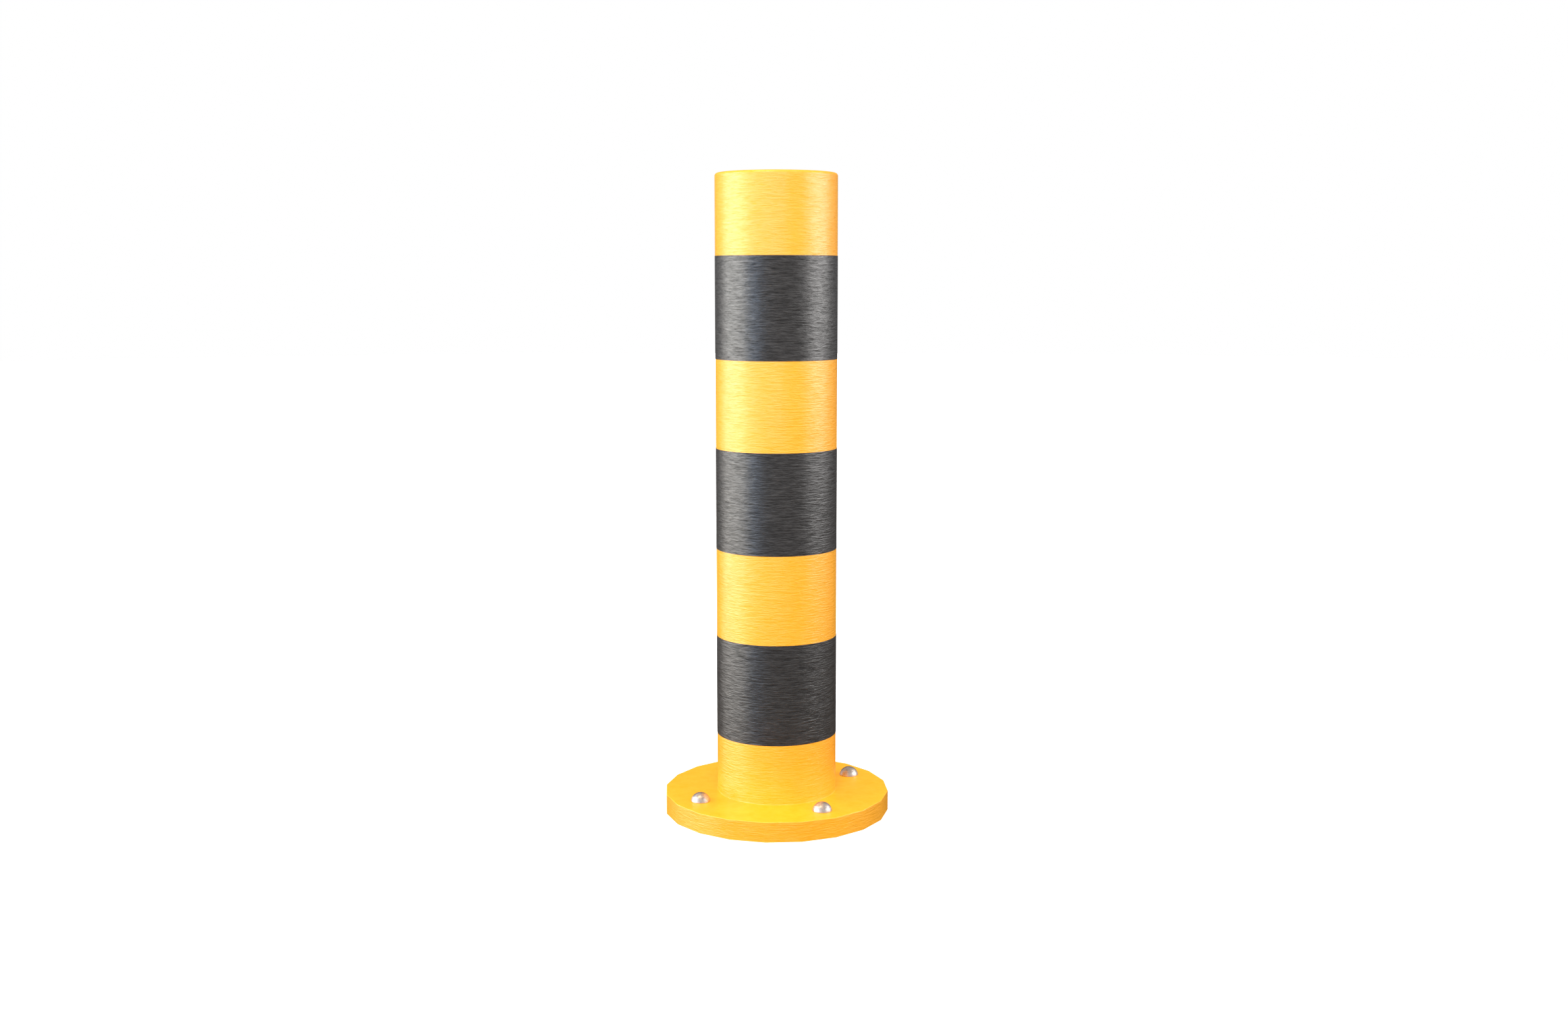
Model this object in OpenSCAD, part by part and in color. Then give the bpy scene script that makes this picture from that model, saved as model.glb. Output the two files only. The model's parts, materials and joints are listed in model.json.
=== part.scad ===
// Steel safety bollard: a painted tube welded to a thick many-sided base plate,
// wrapped with three black bands and held down at four points.
// The nuts and washers sit in recesses in the plate, each under a domed cover.
// Origin: centre of the base plate's underside. +Z is up, and the fixings lie on X and Y.

/* [Post] */
// Outer diameter of the tube
post_d = 168.3; // [150:0.1:180]
// Wall thickness of the tube
post_wall = 5; // [4.5:0.5:10]
// Overall height, from the floor to the top of the cap
total_h = 892; // [850:1:1200]
// Thickness of the cap welded on the tube
cap_t = 8; // [7:0.5:12]
// Radius of the cap's upper edge
cap_round = 4; // [1:0.5:4]

/* [Welds] */
// Depth of the groove weld at the foot of the tube
foot_groove = 4; // [2:0.5:4]
// Leg of the fillet weld on the plate
foot_leg = 1; // [1:0.5:6]
// Depth of the groove weld under the cap
cap_groove = 2; // [1:0.5:2.5]

/* [Base plate] */
// Number of straight sides, in fours so that each fixing faces a corner
plate_sides = 20; // [16:4:24]
// Diameter across the corners
plate_d = 318; // [310:1:400]
// Thickness of the plate
plate_t = 28; // [26:0.5:40]
// Bevel along the upper edge
plate_bevel = 1; // [0.5:0.1:2]

/* [Black bands] */
// Height of each band
band_h = 140.5; // [100:0.5:150]
// Height of the lowest band's lower edge above the floor
band_first = 112; // [60:1:150]
// Distance from one band to the next
band_pitch = 264; // [160:1:268]
// Thickness of the band's film
band_t = 0.3; // [0.2:0.05:0.6]

/* [Fixings] */
// Diameter of the circle through the four fixings
bolt_pcd = 246; // [236:1:256]
// Clearance hole for an M12 stud
hole_d = 14; // [13:0.5:16]
// Diameter of the recess round each nut
recess_d = 26; // [25.5:0.1:26.4]
// Depth of the recess below the top of the plate
recess_depth = 15; // [14.5:0.5:18]
// Outer diameter of the washer
washer_d = 24; // [22:0.5:24.5]
// Hole in the washer
washer_bore = 13; // [12.5:0.1:13.5]
// Thickness of the washer
washer_t = 2.5; // [1.5:0.1:3]
// Width of the nut across its flats
nut_af = 18; // [17:0.5:18.5]
// Height of the nut
nut_h = 10.8; // [8:0.1:11.5]
// Minor diameter of the nut's M12 thread
nut_bore = 10.2; // [10:0.1:11]

/* [Domed covers] */
// Diameter of the dome where it meets the plate
cover_d = 27; // [26.5:0.5:34]
// Height of the dome above the plate
cover_rise = 12; // [9:0.5:13]
// Thickness of the cover's metal
cover_wall = 1.2; // [0.8:0.1:1.5]
// Length of the skirt that is pressed into the recess
cover_skirt = 6; // [3:0.5:8]

/* [Hidden] */

$fn = 96;

// Colours of the paint, the film and the bare steel
paint = [1, 0.78, 0.2];
film = [0.24, 0.23, 0.24];
zinc = [0.72, 0.73, 0.75];
stainless = [0.85, 0.84, 0.86];

// Directions of the four fixings, in degrees from +X
right = 0;
back = 90;
left = 180;
front = 270;

// Overlap that makes a cut run clean through a face
cut = 1;

post_r = post_d / 2;
cap_z = total_h - cap_t;
recess_z = plate_t - recess_depth;
nut_z = recess_z + washer_t;
side_angle = 360 / plate_sides;

// Sphere that passes through the dome's rim and its top
dome_r = (pow(cover_d / 2, 2) + pow(cover_rise, 2)) / (2 * cover_rise);
dome_centre_z = plate_t + cover_rise - dome_r;

// Angle between the middle of a nut's flat and its corner
hex_half_angle = 30;
// Angle of the chamfer on a nut's corners
nut_chamfer_angle = 30;
nut_corner_r = nut_af / 2 / cos(hex_half_angle);
nut_chamfer = (nut_corner_r - nut_af / 2) * tan(nut_chamfer_angle);
// Countersink at each end of the nut's thread
nut_sink = 0.9;

// Puts a piece on the bolt circle, turned to face outwards
module at_fixing(angle) {
    rotate([0, 0, angle])
        translate([bolt_pcd / 2, 0, 0])
            children();
}

module at_all_fixings() {
    for (angle = [right, back, left, front])
        at_fixing(angle)
            children();
}

// Long slab between two opposite sides of the plate, bevelled along both upper edges
module plate_slab() {
    half_w = plate_d / 2 * cos(side_angle / 2);
    rotate([90, 0, 0])
        linear_extrude(plate_d, center = true)
            polygon([
                [-half_w, 0],
                [half_w, 0],
                [half_w, plate_t - plate_bevel],
                [half_w - plate_bevel, plate_t],
                [-half_w + plate_bevel, plate_t],
                [-half_w, plate_t - plate_bevel]
            ]);
}

// The many-sided plate is what the slabs of all its pairs of sides have in common
module plate_blank() {
    intersection_for(pair = [0 : plate_sides / 2 - 1])
        rotate([0, 0, (pair + 0.5) * side_angle])
            plate_slab();
}

// Stepped hole: clearance for the stud below, recess for the nut above
module fixing_hole() {
    translate([0, 0, -cut])
        cylinder(d = hole_d, h = plate_t);
    translate([0, 0, recess_z])
        cylinder(d = recess_d, h = recess_depth + cut);
}

module base_plate() {
    color(paint)
        difference() {
            plate_blank();
            at_all_fixings()
                fixing_hole();
        }
}

// Tube wall in section, with a weld bevel at each end
module post_section() {
    inner_r = post_r - post_wall;
    polygon([
        [inner_r, plate_t],
        [post_r - foot_groove, plate_t],
        [post_r, plate_t + foot_groove],
        [post_r, cap_z - cap_groove],
        [post_r - cap_groove, cap_z],
        [inner_r, cap_z]
    ]);
}

module post_tube() {
    color(paint)
        rotate_extrude()
            post_section();
}

// Half of the cap in section, with a round upper edge and a weld bevel below
module cap_section() {
    difference() {
        union() {
            square([post_r, cap_t - cap_round]);
            square([post_r - cap_round, cap_t]);
            translate([post_r - cap_round, cap_t - cap_round])
                circle(r = cap_round);
        }
        polygon([
            [post_r - cap_groove, 0],
            [post_r + cut, -cut],
            [post_r + cut, cap_groove + cut]
        ]);
    }
}

module top_cap() {
    color(paint)
        translate([0, 0, cap_z])
            rotate_extrude()
                cap_section();
}

// Fills the bevel at the tube's foot and ends in a small fillet on the plate
module foot_weld() {
    color(paint)
        rotate_extrude()
            polygon([
                [post_r - foot_groove, plate_t],
                [post_r + foot_leg, plate_t],
                [post_r, plate_t + foot_leg],
                [post_r, plate_t + foot_groove]
            ]);
}

// Fills the groove between the tube and the cap, ground flush with both
module cap_weld() {
    color(paint)
        rotate_extrude()
            polygon([
                [post_r - cap_groove, cap_z],
                [post_r, cap_z - cap_groove],
                [post_r, cap_z + cap_groove]
            ]);
}

// Film wrapped round the post, counted from the lowest band
module black_band(count) {
    color(film)
        translate([0, 0, band_first + count * band_pitch])
            rotate_extrude()
                translate([post_r, 0])
                    square([band_t, band_h]);
}

module washer(angle) {
    color(zinc)
        at_fixing(angle)
            translate([0, 0, recess_z])
                rotate_extrude()
                    translate([washer_bore / 2, 0])
                        square([(washer_d - washer_bore) / 2, washer_t]);
}

// Round blank with both ends chamfered, which cuts the hexagon's corners
module nut_blank() {
    rotate_extrude()
        polygon([
            [0, 0],
            [nut_af / 2, 0],
            [nut_corner_r, nut_chamfer],
            [nut_corner_r, nut_h - nut_chamfer],
            [nut_af / 2, nut_h],
            [0, nut_h]
        ]);
}

// Threaded hole at its minor diameter, countersunk at both ends
module nut_hole() {
    bore_r = nut_bore / 2;
    rotate_extrude()
        polygon([
            [0, -cut],
            [bore_r + nut_sink + cut, -cut],
            [bore_r, nut_sink],
            [bore_r, nut_h - nut_sink],
            [bore_r + nut_sink + cut, nut_h + cut],
            [0, nut_h + cut]
        ]);
}

module hex_nut(angle) {
    color(zinc)
        at_fixing(angle)
            translate([0, 0, nut_z])
                difference() {
                    intersection() {
                        cylinder(r = nut_corner_r, h = nut_h, $fn = 6);
                        nut_blank();
                    }
                    nut_hole();
                }
}

// Half of a domed plug in section: a cap of a sphere on a skirt that starts at low_z
module domed_plug(sphere_r, skirt_r, low_z) {
    intersection() {
        translate([0, dome_centre_z])
            circle(r = sphere_r);
        translate([0, plate_t])
            square([cover_d, cover_rise]);
    }
    translate([0, low_z])
        square([skirt_r, plate_t + cut - low_z]);
}

// Pressed metal cover: the plug's outer shape less the space inside
module dome_cover(angle) {
    skirt_r = recess_d / 2;
    skirt_z = plate_t - cover_skirt;
    color(stainless)
        at_fixing(angle)
            rotate_extrude()
                difference() {
                    domed_plug(dome_r, skirt_r, skirt_z);
                    domed_plug(dome_r - cover_wall, skirt_r - cover_wall, skirt_z - cut);
                }
}

base_plate();
post_tube();
top_cap();
foot_weld();
cap_weld();
black_band(0);  // black_band_lower
black_band(1);  // black_band_middle
black_band(2);  // black_band_upper
washer(right);  // washer_right
washer(back);  // washer_back
washer(left);  // washer_left
washer(front);  // washer_front
hex_nut(right);  // hex_nut_right
hex_nut(back);  // hex_nut_back
hex_nut(left);  // hex_nut_left
hex_nut(front);  // hex_nut_front
dome_cover(right);  // dome_cover_right
dome_cover(back);  // dome_cover_back
dome_cover(left);  // dome_cover_left
dome_cover(front);  // dome_cover_front
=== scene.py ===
"""Looks of the steel safety bollard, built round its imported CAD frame. All lengths are in metres."""

import json
import math

import bmesh
import bpy
from mathutils import Euler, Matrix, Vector


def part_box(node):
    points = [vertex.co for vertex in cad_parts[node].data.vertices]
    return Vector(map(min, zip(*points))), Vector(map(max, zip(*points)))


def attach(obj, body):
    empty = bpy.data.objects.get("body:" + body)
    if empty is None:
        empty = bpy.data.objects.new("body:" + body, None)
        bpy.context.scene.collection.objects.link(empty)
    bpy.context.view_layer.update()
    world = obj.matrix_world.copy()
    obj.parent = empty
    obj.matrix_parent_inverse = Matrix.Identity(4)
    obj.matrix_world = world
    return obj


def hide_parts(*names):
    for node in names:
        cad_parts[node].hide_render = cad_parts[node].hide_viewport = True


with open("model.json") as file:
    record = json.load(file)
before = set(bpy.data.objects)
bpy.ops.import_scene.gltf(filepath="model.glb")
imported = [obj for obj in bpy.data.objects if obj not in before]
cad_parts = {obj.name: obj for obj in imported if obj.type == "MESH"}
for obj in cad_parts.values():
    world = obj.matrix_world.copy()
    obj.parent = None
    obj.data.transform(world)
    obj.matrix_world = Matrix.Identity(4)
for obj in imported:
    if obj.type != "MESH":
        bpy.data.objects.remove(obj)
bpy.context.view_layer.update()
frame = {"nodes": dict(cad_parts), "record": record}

MM = 0.001
FULL_TURN = 2 * math.pi

# Sizes that the frame holds
PLATE_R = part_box("base_plate")[1].x
PLATE_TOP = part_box("base_plate")[1].z
POST_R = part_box("post_tube")[1].x
CAP_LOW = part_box("top_cap")[0].z
CAP_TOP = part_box("top_cap")[1].z
CAP_WELD_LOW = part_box("cap_weld")[0].z
CAP_WELD_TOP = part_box("cap_weld")[1].z
FOOT_WELD_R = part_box("foot_weld")[1].x
FOOT_WELD_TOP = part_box("foot_weld")[1].z
RECESS_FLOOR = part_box("washer_right")[0].z
# The record's second mount is the circle of holes for the studs in the ground
HOLE_R = frame["record"]["mounts"][1]["dims"]["hole_r_mm"] * MM

# Sizes that the frame doesn't state, as in the CAD source
PLATE_SIDES = 20
PLATE_EDGE = 1.0 * MM
POST_WALL = 5.0 * MM
FOOT_GROOVE = 4.0 * MM
CAP_ROUND = 4.0 * MM
RECESS_R = 13.0 * MM
COVER_WALL = 1.2 * MM
FILM = 0.3 * MM

# Steps round the post, enough that no flat shows on its outline
POST_STEPS = 256
# Steps round a cover or a hole, and from a dome's rim to its top
DOME_STEPS = 96
DOME_RISE_STEPS = 30
# Steps across the rounded edges and the foot weld's fillet
CAP_ROUND_STEPS = 8
PLATE_EDGE_STEPS = 4
FILLET_STEPS = 10

# Edges sharper than this are creased, on turned pieces and on the plate
CREASE_DEGREES = 35
PLATE_CREASE_DEGREES = 60

# The camera stands to the left of the front, and looks a little down
VIEW_BEARING = math.radians(-30.47)
CAMERA_DISTANCE = 2.331
CAMERA_HEIGHT = 0.748
CAMERA_PITCH = math.radians(7.70)
CAMERA_PAN = math.radians(0.26)
LENS_MM = 38.59
SENSOR_MM = 36.0

# Paint, film and metal, as linear colour
YELLOW = (0.95, 0.40, 0.008, 1)
BLACK = (0.011, 0.0105, 0.0105, 1)
STAINLESS = (0.72, 0.68, 0.65, 1)
STAINLESS_EDGE = (0.45, 0.36, 0.32, 1)
ZINC = (0.58, 0.59, 0.61, 1)
GLOSS_IOR = 1.9


# ---------- mesh helpers ----------

def add_object(name, mesh, place=(0, 0, 0)):
    made = bpy.data.objects.new(name, mesh)
    made.location = place
    bpy.context.scene.collection.objects.link(made)
    return made


def set_smooth(mesh, crease_degrees):
    mesh.polygons.foreach_set("use_smooth", [True] * len(mesh.polygons))
    mesh.set_sharp_from_angle(angle=math.radians(crease_degrees))


def finish_mesh(name, bm, crease_degrees=CREASE_DEGREES):
    """Turns a bmesh into a mesh with outward normals, smooth but for its creases."""
    bmesh.ops.recalc_face_normals(bm, faces=bm.faces)
    mesh = bpy.data.meshes.new(name)
    bm.to_mesh(mesh)
    bm.free()
    set_smooth(mesh, crease_degrees)
    return mesh


def lathe(name, section, steps, closed=True, shape=None):
    """Turns a section of (radius, height) points round Z. A point of radius 0 becomes a pole.
    shape(angle, radius, height) may return a radius and height of its own for each point."""
    bm = bmesh.new()
    rings = []
    for radius, height in section:
        if radius == 0:
            rings.append([bm.verts.new((0, 0, height))])
            continue
        ring = []
        for step in range(steps):
            angle = FULL_TURN * step / steps
            r, z = shape(angle, radius, height) if shape else (radius, height)
            ring.append(bm.verts.new((r * math.cos(angle), r * math.sin(angle), z)))
        rings.append(ring)
    pairs = list(zip(rings, rings[1:]))
    if closed:
        pairs.append((rings[-1], rings[0]))
    for lower, upper in pairs:
        for step in range(steps):
            after = (step + 1) % steps
            corners = [
                lower[step % len(lower)],
                lower[after % len(lower)],
                upper[after % len(upper)],
                upper[step % len(upper)],
            ]
            corners = list(dict.fromkeys(corners))
            if len(corners) > 2:
                bm.faces.new(corners)
    return finish_mesh(name, bm)


def arc(centre_r, centre_z, radius, start, end, steps):
    """Points of an arc in a lathe's section, with angles in degrees from straight out."""
    points = []
    for step in range(steps + 1):
        angle = math.radians(start + (end - start) * step / steps)
        points.append((centre_r + radius * math.cos(angle), centre_z + radius * math.sin(angle)))
    return points


# ---------- material helpers ----------

def node(tree, kind, inputs=None, **settings):
    """Adds a node, and links or sets its inputs by name or number."""
    made = tree.nodes.new(kind)
    for name, value in settings.items():
        setattr(made, name, value)
    for name, value in (inputs or {}).items():
        if isinstance(value, bpy.types.NodeSocket):
            tree.links.new(value, made.inputs[name])
        else:
            made.inputs[name].default_value = value
    return made


def new_material(name):
    """An empty material: its node tree, its Principled shader and its object coordinates."""
    material = bpy.data.materials.new(name)
    material.use_nodes = True
    tree = material.node_tree
    tree.nodes.clear()
    shader = node(tree, "ShaderNodeBsdfPrincipled")
    node(tree, "ShaderNodeOutputMaterial", {"Surface": shader.outputs["BSDF"]})
    place = node(tree, "ShaderNodeTexCoord").outputs["Object"]
    return material, tree, shader, place


def noise(tree, place, size, detail=2.0, roughness=0.5, distortion=0.0):
    """Noise from 0 to 1 with features of that size, one size or one for each of X, Y and Z."""
    sizes = size if isinstance(size, tuple) else (size, size, size)
    scaled = node(tree, "ShaderNodeMapping", {
        "Vector": place,
        "Scale": tuple(1 / s for s in sizes),
    })
    return node(tree, "ShaderNodeTexNoise", {
        "Vector": scaled.outputs["Vector"],
        "Scale": 1.0,
        "Detail": detail,
        "Roughness": roughness,
        "Distortion": distortion,
    }).outputs["Fac"]


# Most of a noise's values lie in this range
NOISE_LOW = 0.3
NOISE_HIGH = 0.7


def spread(tree, value, low, high, from_low=NOISE_LOW, from_high=NOISE_HIGH):
    """Maps a value, such as a noise, onto the range from low to high."""
    return node(tree, "ShaderNodeMapRange", {
        "Value": value,
        "From Min": from_low,
        "From Max": from_high,
        "To Min": low,
        "To Max": high,
    }).outputs["Result"]


def shade(tree, colour, share):
    """The colour times a share that varies over the surface."""
    inputs = {0: colour[:3], "Scale": share}
    return node(tree, "ShaderNodeVectorMath", inputs, operation="SCALE").outputs["Vector"]


def multiply(tree, first, second):
    inputs = {0: first, 1: second}
    return node(tree, "ShaderNodeMath", inputs, operation="MULTIPLY").outputs["Value"]


def bump(tree, height, distance, under=None):
    """Normals of a height from 0 to 1 times a distance, on top of another bump if there is one."""
    inputs = {"Height": height, "Distance": distance, "Strength": 1.0}
    if under is not None:
        inputs["Normal"] = under
    return node(tree, "ShaderNodeBump", inputs).outputs["Normal"]


# ---------- materials ----------

# The steel is wrinkled all over by fine ridges that run round the post and the plate's rim:
# long ones, broken up by shorter ones
LONG_RIDGE = (20 * MM, 20 * MM, 2.2 * MM)
SHORT_RIDGE = (8 * MM, 8 * MM, 1.7 * MM)
SHORT_SHARE = 0.42

# Broad unevenness of the steel, below the ridges
SWELL = (30 * MM, 30 * MM, 12 * MM)
SWELL_HEIGHT = 0.25 * MM

# The coat's roughness, which varies in small patches
COAT_PATCH = 12 * MM
COAT_ROUGHNESS = (0.35, 0.41)

# A face starts to count as flat at this flatness, and keeps these shares of its ridges and gloss
FLAT_FROM = 0.5
FLAT_RIDGES = 0.3
FLAT_GLOSS = 0.7


def coat_ridges(tree, place):
    """Height of the ridges, from 0 to 1."""
    long_ridges = noise(tree, place, LONG_RIDGE, detail=2.0, roughness=0.55, distortion=0.2)
    short_ridges = noise(tree, place, SHORT_RIDGE, detail=3.0, roughness=0.6, distortion=0.4)
    return node(tree, "ShaderNodeMix", {
        "Factor": SHORT_SHARE,
        "A": long_ridges,
        "B": short_ridges,
    }).outputs["Result"]


def flatness(tree):
    """From 0 on faces that stand upright to 1 on faces that look straight up or down."""
    outward = node(tree, "ShaderNodeNewGeometry").outputs["True Normal"]
    upright = node(tree, "ShaderNodeSeparateXYZ", {0: outward}).outputs["Z"]
    return node(tree, "ShaderNodeMath", {0: upright}, operation="ABSOLUTE").outputs["Value"]


def coat_surface(tree, place, ridges, flat, ridge_height):
    """Bump of the wrinkled steel under its coat: ridges, with a broad unevenness below them.
    The ridges are lower on flat faces."""
    swell = noise(tree, place, SWELL, detail=1.0)
    low_ridges = FLAT_RIDGES * ridge_height
    height = spread(tree, flat, ridge_height, low_ridges, from_low=FLAT_FROM, from_high=1.0)
    uneven = bump(tree, swell, SWELL_HEIGHT)
    return bump(tree, ridges, height, under=uneven)


def make_coat(name, colour, cloud_size, cloud, ridge_shade, gloss, ridge_height):
    """A semi-gloss coat over wrinkled steel, with painted shade in the hollows between the ridges, which
    are darker and duller, and painted light on the ridge tops, which are lighter and glossier.
    cloud is the range of the broad colour's share; the next two ranges are the shares of colour and of
    gloss that follow the ridges."""
    material, tree, shader, place = new_material(name)
    ridges = coat_ridges(tree, place)
    broad = spread(tree, noise(tree, place, cloud_size, detail=3.0), *cloud)
    # Painted shade and light: the colour is darker in the hollows between the ridges and lighter on
    # their tops
    fine = spread(tree, ridges, *ridge_shade)
    patches = noise(tree, place, COAT_PATCH, detail=3.0)
    flat = flatness(tree)
    dulled = spread(tree, flat, 1.0, FLAT_GLOSS, from_low=FLAT_FROM, from_high=1.0)
    # Painted shade and highlight in the gloss: less reflection in the hollows, more on the ridge tops,
    # times a lower share on flat faces
    level = multiply(tree, spread(tree, ridges, *gloss), dulled)
    surface = coat_surface(tree, place, ridges, flat, ridge_height)
    tree.links.new(shade(tree, colour, multiply(tree, broad, fine)), shader.inputs["Base Color"])
    tree.links.new(spread(tree, patches, *COAT_ROUGHNESS), shader.inputs["Roughness"])
    tree.links.new(level, shader.inputs["Specular IOR Level"])
    tree.links.new(surface, shader.inputs["Normal"])
    shader.inputs["IOR"].default_value = GLOSS_IOR
    return material


def make_yellow_paint():
    return make_coat(
        "yellow_paint",
        YELLOW,
        cloud_size=90 * MM,
        cloud=(0.97, 1.03),
        # Painted shade in the hollows and painted light on the ridge tops, as colour here and as gloss
        # in the next range
        ridge_shade=(0.92, 1.08),
        gloss=(0.24, 0.76),
        ridge_height=0.9 * MM,
    )


def make_black_film():
    return make_coat(
        "black_film",
        BLACK,
        cloud_size=60 * MM,
        cloud=(0.92, 1.1),
        # Painted shade in the hollows and painted light on the ridge tops, as colour here and as gloss
        # in the next range
        ridge_shade=(0.8, 1.2),
        gloss=(0.16, 0.84),
        ridge_height=1.0 * MM,
    )


def make_metal(name, colour, metallic, patches, tone, roughness, grain, grain_height, edge=(1, 1, 1, 1)):
    """Bare metal. tone and roughness are ranges that follow the patches, and the grain is a fine bump.
    patches and grain are each the settings of a noise, and edge tints the gloss near the outline."""
    material, tree, shader, place = new_material(name)
    patch = noise(tree, place, **patches)
    surface = bump(tree, noise(tree, place, **grain), grain_height)
    tree.links.new(shade(tree, colour, spread(tree, patch, *tone)), shader.inputs["Base Color"])
    tree.links.new(spread(tree, patch, *roughness), shader.inputs["Roughness"])
    tree.links.new(surface, shader.inputs["Normal"])
    shader.inputs["Metallic"].default_value = metallic
    shader.inputs["Specular Tint"].default_value = edge
    return material


def make_stainless():
    """Pressed steel with smudges and small dents."""
    return make_metal(
        "stainless_steel",
        STAINLESS,
        metallic=0.95,
        patches={"size": 5 * MM, "detail": 4.0, "roughness": 0.6},
        tone=(0.78, 1.08),
        roughness=(0.30, 0.50),
        grain={"size": 2.2 * MM, "detail": 3.0},
        grain_height=0.45 * MM,
        edge=STAINLESS_EDGE,
    )


def make_zinc():
    """Zinc plating with a faint spangle."""
    return make_metal(
        "zinc_steel",
        ZINC,
        metallic=1.0,
        patches={"size": 3 * MM, "detail": 3.0},
        tone=(0.85, 1.1),
        roughness=(0.32, 0.5),
        grain={"size": 0.8 * MM},
        grain_height=0.02 * MM,
    )


# ---------- pieces ----------

def show(name, mesh, material, slot, *nodes, place=(0, 0, 0)):
    """Puts a piece in the scene in place of its CAD nodes."""
    piece = add_object(name, mesh, place)
    mesh.materials.clear()
    mesh.materials.append(material)
    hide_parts(*nodes)
    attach(piece, "root")
    return piece


def evaluated_mesh(made):
    """The object's mesh with its modifiers applied."""
    depsgraph = bpy.context.evaluated_depsgraph_get()
    return bpy.data.meshes.new_from_object(made.evaluated_get(depsgraph))


def fixing_places():
    """Middle of each domed cover, seen from above, by the name of its side."""
    places = {}
    for side in ("right", "back", "left", "front"):
        low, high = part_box("dome_cover_" + side)
        places[side] = Vector(((low.x + high.x) / 2, (low.y + high.y) / 2, 0))
    return places


def plate_blank():
    """The many-sided plate, with its upper edge rounded."""
    bm = bmesh.new()
    corners = [FULL_TURN * side / PLATE_SIDES for side in range(PLATE_SIDES)]
    lower = [bm.verts.new((PLATE_R * math.cos(a), PLATE_R * math.sin(a), 0)) for a in corners]
    upper = [bm.verts.new((v.co.x, v.co.y, PLATE_TOP)) for v in lower]
    bm.faces.new(lower[::-1])
    bm.faces.new(upper)
    for side in range(PLATE_SIDES):
        after = (side + 1) % PLATE_SIDES
        bm.faces.new((lower[side], lower[after], upper[after], upper[side]))
    bm.normal_update()
    top_edges = [e for e in bm.edges if all(v.co.z == PLATE_TOP for v in e.verts)]
    bmesh.ops.bevel(
        bm,
        geom=top_edges,
        offset=PLATE_EDGE,
        segments=PLATE_EDGE_STEPS,
        profile=0.5,
        affect="EDGES",
    )
    return bm


def fixing_cutter(place):
    """Clearance hole and recess of one fixing, as a solid that runs past both faces."""
    past = 5 * MM
    section = [
        (0, -past),
        (HOLE_R, -past),
        (HOLE_R, RECESS_FLOOR),
        (RECESS_R, RECESS_FLOOR),
        (RECESS_R, PLATE_TOP + past),
        (0, PLATE_TOP + past),
    ]
    return add_object("cutter", lathe("cutter", section, DOME_STEPS, closed=False), place)


def drilled_plate():
    """Mesh of the plate with its four stepped holes."""
    mesh = finish_mesh("plate", plate_blank(), PLATE_CREASE_DEGREES)
    blank = add_object("plate_blank", mesh)
    cutters = [fixing_cutter(place) for place in fixing_places().values()]
    for cutter in cutters:
        cut = blank.modifiers.new("cut", "BOOLEAN")
        cut.operation = "DIFFERENCE"
        cut.solver = "EXACT"
        cut.object = cutter
    bpy.context.view_layer.update()
    drilled = evaluated_mesh(blank)
    for spare in [blank, *cutters]:
        bpy.data.objects.remove(spare)
    set_smooth(drilled, PLATE_CREASE_DEGREES)
    return drilled


def make_plate(material):
    plate = show("painted_plate", drilled_plate(), material, "yellow_paint", "base_plate")
    weighted = plate.modifiers.new("flat_faces_stay_flat", "WEIGHTED_NORMAL")
    weighted.keep_sharp = True


def make_post(material):
    inner = POST_R - POST_WALL
    groove = CAP_LOW - CAP_WELD_LOW
    section = [
        (inner, PLATE_TOP),
        (POST_R - FOOT_GROOVE, PLATE_TOP),
        (POST_R, PLATE_TOP + FOOT_GROOVE),
        (POST_R, CAP_WELD_LOW),
        (POST_R - groove, CAP_LOW),
        (inner, CAP_LOW),
    ]
    mesh = lathe("post", section, POST_STEPS)
    show("painted_post", mesh, material, "yellow_paint", "post_tube")


def make_cap(material):
    groove = CAP_WELD_TOP - CAP_LOW
    section = [
        (0, CAP_LOW),
        (POST_R - groove, CAP_LOW),
        (POST_R, CAP_WELD_TOP),
        *arc(POST_R - CAP_ROUND, CAP_TOP - CAP_ROUND, CAP_ROUND, 0, 90, CAP_ROUND_STEPS),
        (0, CAP_TOP),
    ]
    mesh = lathe("cap", section, POST_STEPS, closed=False)
    show("painted_cap", mesh, material, "yellow_paint", "top_cap")


def make_cap_weld(material):
    """Weld ground flush, so that only its root is left inside the joint."""
    section = [
        (POST_R - (CAP_LOW - CAP_WELD_LOW), CAP_LOW),
        (POST_R, CAP_WELD_LOW),
        (POST_R, CAP_WELD_TOP),
    ]
    mesh = lathe("cap_weld", section, POST_STEPS)
    show("painted_cap_weld", mesh, material, "yellow_paint", "cap_weld")


def make_foot_weld(material):
    """Small fillet with the fine even ripple that a weld leaves, softened by paint."""
    ripples = 130
    steps_per_ripple = 6
    ripple_height = 0.04 * MM
    leg = FOOT_WELD_R - POST_R
    smooth_toe = 0.1 * leg
    face = arc(FOOT_WELD_R, PLATE_TOP + leg, leg, 270, 180, FILLET_STEPS)

    def rippled(angle, radius, height):
        if radius < POST_R + smooth_toe or radius > FOOT_WELD_R - smooth_toe:
            return radius, height
        return radius - ripple_height * (0.5 + 0.5 * math.cos(ripples * angle)), height

    section = [
        (POST_R - FOOT_GROOVE, PLATE_TOP),
        *face,
        (POST_R, FOOT_WELD_TOP),
    ]
    mesh = lathe("foot_weld", section, ripples * steps_per_ripple, shape=rippled)
    show("painted_foot_weld", mesh, material, "yellow_paint", "foot_weld")


# Where each band starts, in degrees from +X: at the back, and not quite in line
BAND_STARTS = {"lower": 82, "middle": 86, "upper": 80}
# How far a band's end laps over its start, and how soon it climbs onto it, to lie just clear of it
LAP = math.radians(7)
LAP_CLIMB = math.radians(1.5)
LAP_LIFT = 1.05 * FILM
LAP_STEPS = 8
FILM_EDGE = 0.1 * MM


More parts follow.
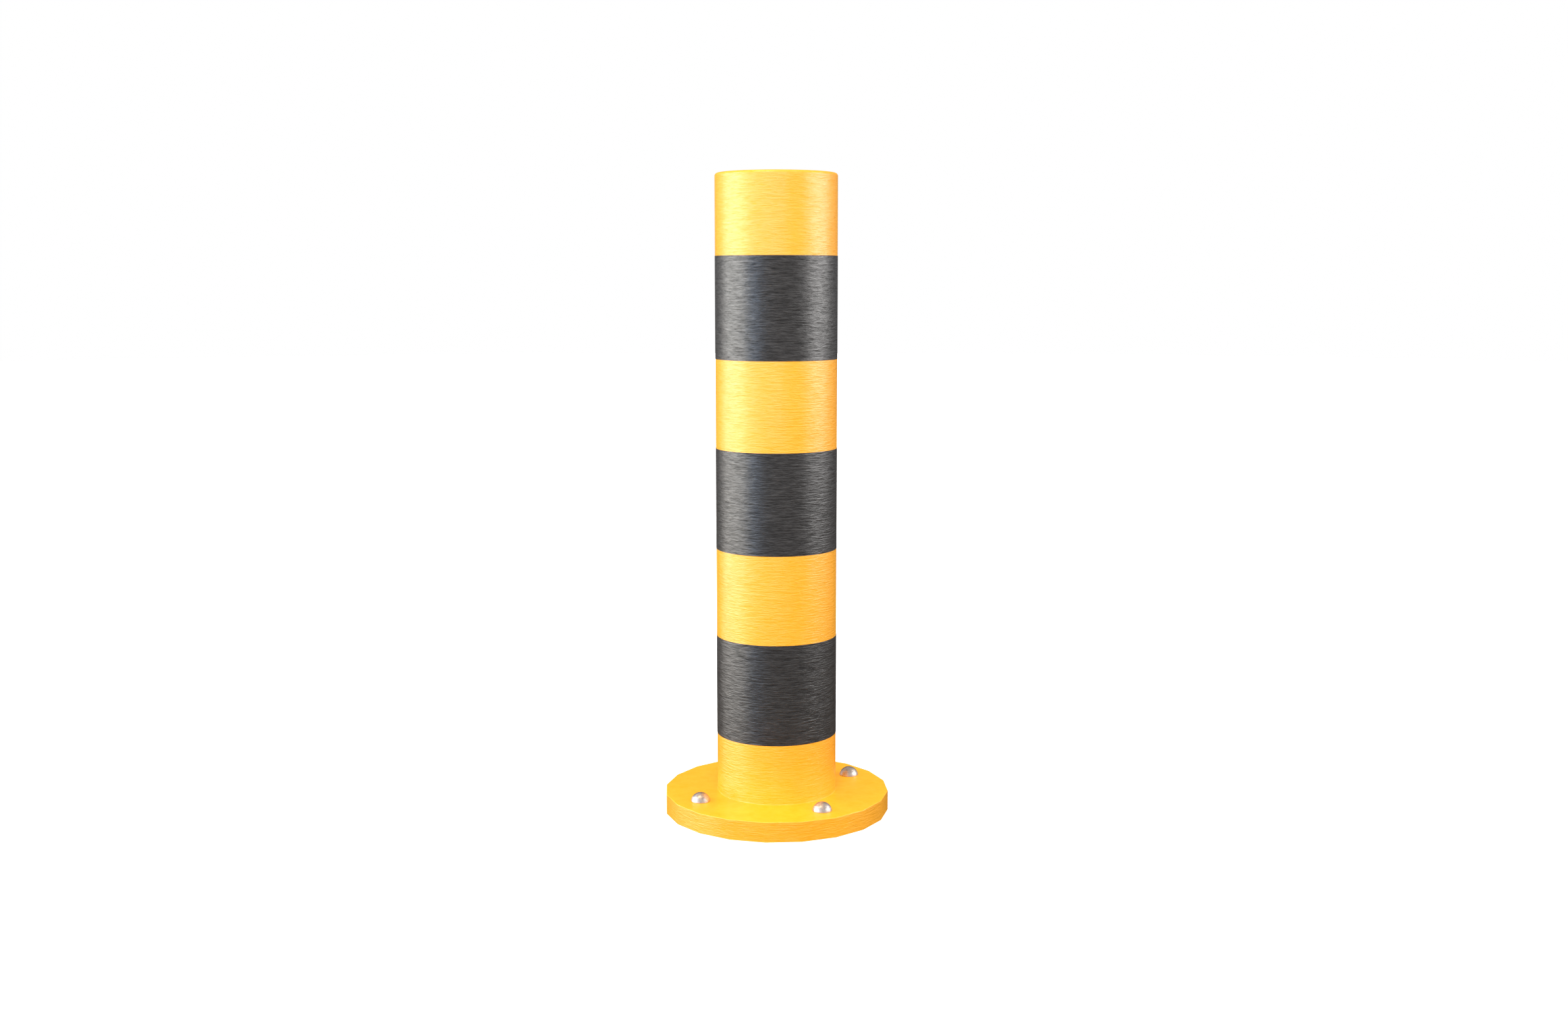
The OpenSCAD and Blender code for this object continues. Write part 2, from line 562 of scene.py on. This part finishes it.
def make_band(level, start_degrees, material):
    """Film wrapped once round the post, with its end lapped over its start."""
    low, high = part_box("black_band_" + level)
    steps = POST_STEPS + LAP_STEPS
    bm = bmesh.new()
    rings = []
    for step in range(steps + 1):
        turned = (FULL_TURN + LAP) * step / steps
        climb = min(max((turned - FULL_TURN + LAP_CLIMB) / LAP_CLIMB, 0), 1)
        inner = POST_R + LAP_LIFT * climb * climb * (3 - 2 * climb)
        outer = inner + FILM
        angle = math.radians(start_degrees) + turned
        section = [
            (inner, low.z),
            (outer - FILM_EDGE, low.z),
            (outer, low.z + FILM_EDGE),
            (outer, high.z - FILM_EDGE),
            (outer - FILM_EDGE, high.z),
            (inner, high.z),
        ]
        rings.append([bm.verts.new((r * math.cos(angle), r * math.sin(angle), z)) for r, z in section])
    for first, second in zip(rings, rings[1:]):
        for point in range(len(first)):
            after = (point + 1) % len(first)
            bm.faces.new((first[point], second[point], second[after], first[after]))
    bm.faces.new(rings[0])
    bm.faces.new(rings[-1][::-1])
    mesh = finish_mesh("band_" + level, bm)
    show("film_band_" + level, mesh, material, "black_film", "black_band_" + level)


def make_dome_cover(side, place, material):
    """Thin pressed dome on a skirt, with a rim that turns in where it meets the plate."""
    low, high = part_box("dome_cover_" + side)
    rim_r = (high.x - low.x) / 2
    rise = high.z - PLATE_TOP
    sphere_r = (rim_r ** 2 + rise ** 2) / (2 * rise)
    centre_z = high.z - sphere_r
    rim_round = 0.5 * MM
    start = math.degrees(math.asin((PLATE_TOP + rim_round - centre_z) / sphere_r))
    outer = arc(0, centre_z, sphere_r, start, 90, DOME_RISE_STEPS)[:-1]
    inner = arc(0, centre_z, sphere_r - COVER_WALL, 90, start, DOME_RISE_STEPS)[1:]
    section = [
        *outer,
        (0, high.z),
        (0, high.z - COVER_WALL),
        *inner,
        (RECESS_R - COVER_WALL, PLATE_TOP - rim_round),
        (RECESS_R - COVER_WALL, low.z),
        (RECESS_R, low.z),
        (RECESS_R, PLATE_TOP),
    ]
    mesh = lathe("dome_" + side, section, DOME_STEPS)
    name = "dome_cover_" + side
    show("steel_" + name, mesh, material, "stainless_steel", name, place=place)


def finish_hidden_nodes(material):
    """The nuts and washers under the covers keep their CAD shape."""
    for name, piece in frame["nodes"].items():
        if name.startswith(("washer_", "hex_nut_")):
            piece.data.materials.clear()
            piece.data.materials.append(material)


# ---------- studio ----------

def make_camera():
    data = bpy.data.cameras.new("camera")
    data.sensor_width = SENSOR_MM
    data.lens = LENS_MM
    camera = bpy.data.objects.new("camera", data)
    camera.location = (
        CAMERA_DISTANCE * math.sin(VIEW_BEARING),
        -CAMERA_DISTANCE * math.cos(VIEW_BEARING),
        CAMERA_HEIGHT,
    )
    camera.rotation_euler = Euler((math.pi / 2 - CAMERA_PITCH, 0, VIEW_BEARING - CAMERA_PAN))
    bpy.context.scene.collection.objects.link(camera)
    bpy.context.scene.camera = camera


def towards(bearing, rise=0.0):
    """Unit vector from the object. Bearing 0 is towards the camera, and positive is to its right."""
    turned = VIEW_BEARING + bearing
    level = math.cos(rise)
    return Vector((math.sin(turned) * level, -math.cos(turned) * level, math.sin(rise)))


def soft_box(name, bearing, distance, width, low_z, high_z, radiance, tint):
    """Upright soft light that faces the post."""
    direction = towards(math.radians(bearing))
    place = direction * distance + Vector((0, 0, (low_z + high_z) / 2))
    area_light(name, place, direction, width, high_z - low_z, radiance, tint)


def gloss_light(name, bearing, rise, distance, size, radiance, tint):
    """Small high lamp that only shows in gloss, as a spot near the top of each cover."""
    direction = towards(math.radians(bearing), math.radians(rise))
    lamp = area_light(name, direction * distance, direction, size, size, radiance, tint)
    lamp.visible_diffuse = False


def fill_light(name, bearing, rise, distance, size, radiance):
    """Large light that brightens the coats but doesn't show in their gloss."""
    direction = towards(math.radians(bearing), math.radians(rise))
    lamp = area_light(name, direction * distance, direction, size, size, radiance)
    lamp.visible_glossy = False


def ceiling_light(name, strength, spread_degrees):
    """Even light from above, soft enough to leave no hard shadow, which doesn't show in the gloss."""
    data = bpy.data.lights.new(name, "SUN")
    data.energy = strength * math.pi
    data.angle = math.radians(spread_degrees)
    lamp = bpy.data.objects.new(name, data)
    lamp.visible_glossy = False
    bpy.context.scene.collection.objects.link(lamp)


def area_light(name, place, facing, width, height, radiance, tint=(1, 1, 1)):
    """Rectangular light whose front looks back along the facing vector."""
    data = bpy.data.lights.new(name, "AREA")
    data.shape = "RECTANGLE"
    data.size = width
    data.size_y = height
    data.energy = radiance * math.pi * width * height
    data.color = tint
    lamp = bpy.data.objects.new(name, data)
    lamp.location = place
    lamp.rotation_euler = facing.to_track_quat("Z", "Y").to_euler()
    bpy.context.scene.collection.objects.link(lamp)
    return lamp


# Room light by height, from straight down (-1) to straight up (1), as sine of elevation and colour
ROOM_LIGHT = (
    (-1.00, (0.14, 0.125, 0.115)),
    (-0.60, (0.19, 0.165, 0.148)),
    (-0.30, (0.165, 0.12, 0.095)),
    (-0.18, (0.22, 0.18, 0.15)),
    (-0.06, (0.345, 0.34, 0.34)),
    (0.06, (0.62, 0.64, 0.68)),
    (0.25, (0.67, 0.67, 0.68)),
    (0.60, (0.60, 0.53, 0.48)),
    (1.00, (0.42, 0.35, 0.30)),
)
# The colour ramp holds shares of this level, which none of the colours passes
ROOM_LEVEL = 0.82
# The room dims towards the back, where nearly this share of its light is left.
# It starts and ends at these cosines of the angle from the camera's side.
ROOM_DIM_SHARE = 0.1
ROOM_DIM_END = -1.1
ROOM_DIM_START = -0.44


def room_colours(tree, height):
    """Ramp of the room light's colours over height, as shares of ROOM_LEVEL."""
    by_height = node(tree, "ShaderNodeValToRGB", {
        "Fac": spread(tree, height, 0.0, 1.0, from_low=-1.0, from_high=1.0),
    })
    stops = by_height.color_ramp.elements
    while len(stops) < len(ROOM_LIGHT):
        stops.new(0.5)
    # All the places come first, because a stop that moves can change the stops' order
    for stop, (level, colour) in zip(stops, ROOM_LIGHT):
        stop.position = (level + 1) / 2
    for stop, (level, colour) in zip(stops, ROOM_LIGHT):
        stop.color = (*(part / ROOM_LEVEL for part in colour), 1)
    return by_height.outputs["Color"]


def make_world():
    """Soft room light: bright in front, dim behind, and plain white as the backdrop."""
    world = bpy.data.worlds.new("studio")
    world.use_nodes = True
    tree = world.node_tree
    tree.nodes.clear()
    way = node(tree, "ShaderNodeTexCoord").outputs["Generated"]
    height = node(tree, "ShaderNodeSeparateXYZ", {0: way}).outputs["Z"]
    inputs = {0: way, 1: towards(0)}
    facing = node(tree, "ShaderNodeVectorMath", inputs, operation="DOT_PRODUCT").outputs["Value"]
    share = node(tree, "ShaderNodeMapRange", {
        "Value": facing,
        "From Min": ROOM_DIM_END,
        "From Max": ROOM_DIM_START,
        "To Min": ROOM_DIM_SHARE * ROOM_LEVEL,
        "To Max": ROOM_LEVEL,
    }, interpolation_type="SMOOTHSTEP").outputs["Result"]
    colour = room_colours(tree, height)
    room = node(tree, "ShaderNodeBackground", {"Color": colour, "Strength": share})
    backdrop = node(tree, "ShaderNodeBackground", {"Color": (1, 1, 1, 1), "Strength": 1.0})
    seen = node(tree, "ShaderNodeLightPath").outputs["Is Camera Ray"]
    mixed = node(tree, "ShaderNodeMixShader", {
        0: seen,
        1: room.outputs["Background"],
        2: backdrop.outputs["Background"],
    })
    node(tree, "ShaderNodeOutputWorld", {"Surface": mixed.outputs["Shader"]})
    bpy.context.scene.world = world


FLOOR_R = 15.0
FLOOR_STEPS = 64
# The floor's own glow grows over this range of distance, so that it ends as white as the backdrop
GLOW_NEAR = 0.2
GLOW_FAR = 1.4
GLOW = (0.35, 1.0)


def make_floor():
    """Pale floor that takes the soft shadow, and turns white with distance like the backdrop."""
    bm = bmesh.new()
    bmesh.ops.create_circle(bm, cap_ends=True, segments=FLOOR_STEPS, radius=FLOOR_R)
    floor = add_object("floor", finish_mesh("floor", bm))
    material, tree, shader, place = new_material("pale_floor")
    away = node(tree, "ShaderNodeVectorMath", {0: place}, operation="LENGTH").outputs["Value"]
    shader.inputs["Base Color"].default_value = (0.9, 0.9, 0.9, 1)
    shader.inputs["Roughness"].default_value = 0.9
    shader.inputs["Specular IOR Level"].default_value = 0.0
    shader.inputs["Emission Color"].default_value = (1, 1, 1, 1)
    glow = spread(tree, away, *GLOW, from_low=GLOW_NEAR, from_high=GLOW_FAR)
    tree.links.new(glow, shader.inputs["Emission Strength"])
    floor.data.materials.append(material)
    floor.visible_glossy = False
    floor.visible_diffuse = False
    floor.visible_shadow = False


def make_lights():
    """Tall soft boxes at both sides, a cool panel and a warm lamp for the gloss, and even fill."""
    soft_box(
        "left_box_high",
        bearing=-83,
        distance=2.0,
        width=1.97,
        low_z=0.45,
        high_z=1.84,
        radiance=3.7,
        tint=(1.0, 1.0, 0.97),
    )
    soft_box(
        "left_box_low",
        bearing=-88,
        distance=2.0,
        width=2.4,
        low_z=-0.37,
        high_z=0.45,
        radiance=2.7,
        tint=(1.05, 1.0, 0.93),
    )
    soft_box(
        "right_box",
        bearing=83.5,
        distance=2.0,
        width=1.61,
        low_z=0.42,
        high_z=1.60,
        radiance=3.7,
        tint=(1.02, 1.0, 0.98),
    )
    soft_box(
        "cool_panel",
        bearing=-42,
        distance=2.2,
        width=0.8,
        low_z=0.1,
        high_z=1.6,
        radiance=1.2,
        tint=(0.60, 0.95, 1.5),
    )
    gloss_light(
        "warm_lamp",
        bearing=-40,
        rise=72,
        distance=2.6,
        size=0.6,
        radiance=11.0,
        tint=(1.25, 0.78, 0.38),
    )
    fill_light("front_fill", bearing=-5, rise=30, distance=2.6, size=2.0, radiance=4.4)
    ceiling_light("top_fill", strength=0.82, spread_degrees=70)


# ---------- build ----------

make_camera()
make_world()
make_floor()
make_lights()
bpy.context.scene.view_settings.view_transform = "Standard"

yellow_paint = make_yellow_paint()
black_film = make_black_film()
stainless = make_stainless()
zinc = make_zinc()

make_plate(yellow_paint)
make_post(yellow_paint)
make_cap(yellow_paint)
make_cap_weld(yellow_paint)
make_foot_weld(yellow_paint)
for level, start_degrees in BAND_STARTS.items():
    make_band(level, start_degrees, black_film)
for side, place in fixing_places().items():
    make_dome_cover(side, place, stainless)
finish_hidden_nodes(zinc)
